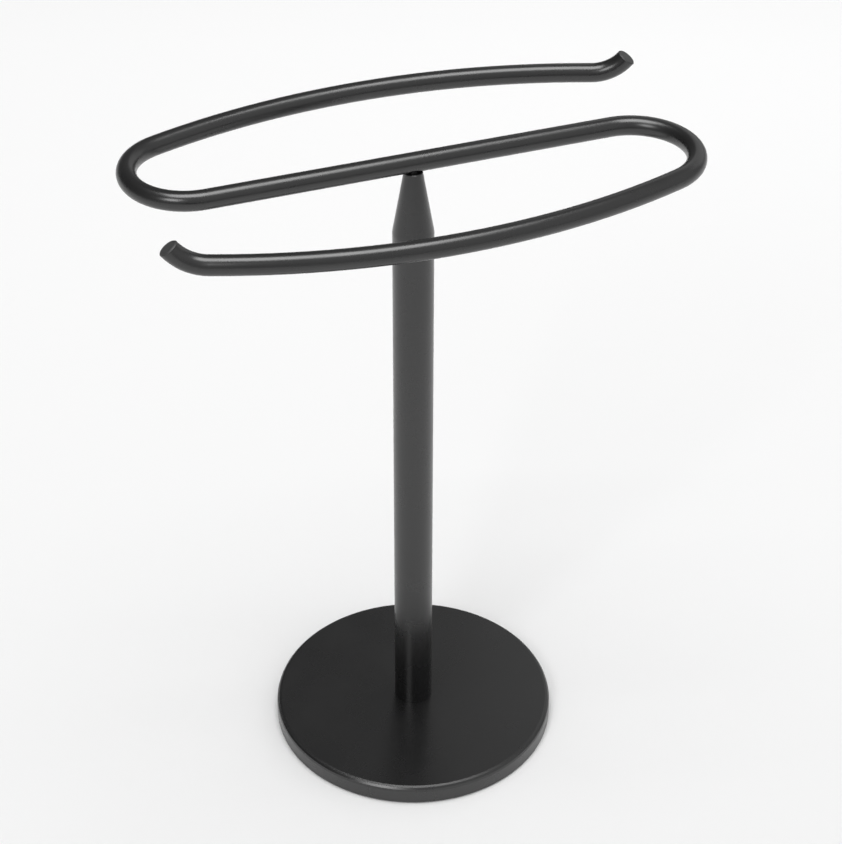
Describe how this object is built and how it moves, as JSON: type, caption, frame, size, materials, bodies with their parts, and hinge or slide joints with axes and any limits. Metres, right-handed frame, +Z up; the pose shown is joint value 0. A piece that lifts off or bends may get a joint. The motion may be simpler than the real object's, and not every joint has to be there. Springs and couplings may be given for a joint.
{
  "type": "towel stand",
  "caption": "Freestanding towel stand: heavy round base, upright post with a tapered top, and a level S-shaped bar with upturned tips.",
  "frame": {"origin": "on the surface that the stand rests on, at the centre of the base and on the post's axis", "axes": "+Z up along the post, +X along the bar's straight middle stretch, +Y towards the rear bow; the half of the bar that starts towards +X bends to -Y"},
  "size_m": [0.2652, 0.158, 0.3529],
  "materials": {
    "black_coat": "satin",
    "zinc_steel": "satin",
    "pad_rubber": "matte"
  },
  "bodies": {
    "root": {"base_plate": "black_coat", "post_tube": "black_coat", "post_cone": "black_coat", "towel_bar": "black_coat", "base_pad": "pad_rubber", "base_screw": "zinc_steel", "base_washer": "zinc_steel", "post_foot_bush": "zinc_steel", "bar_stud": "black_coat"}
  },
  "joints": []
}
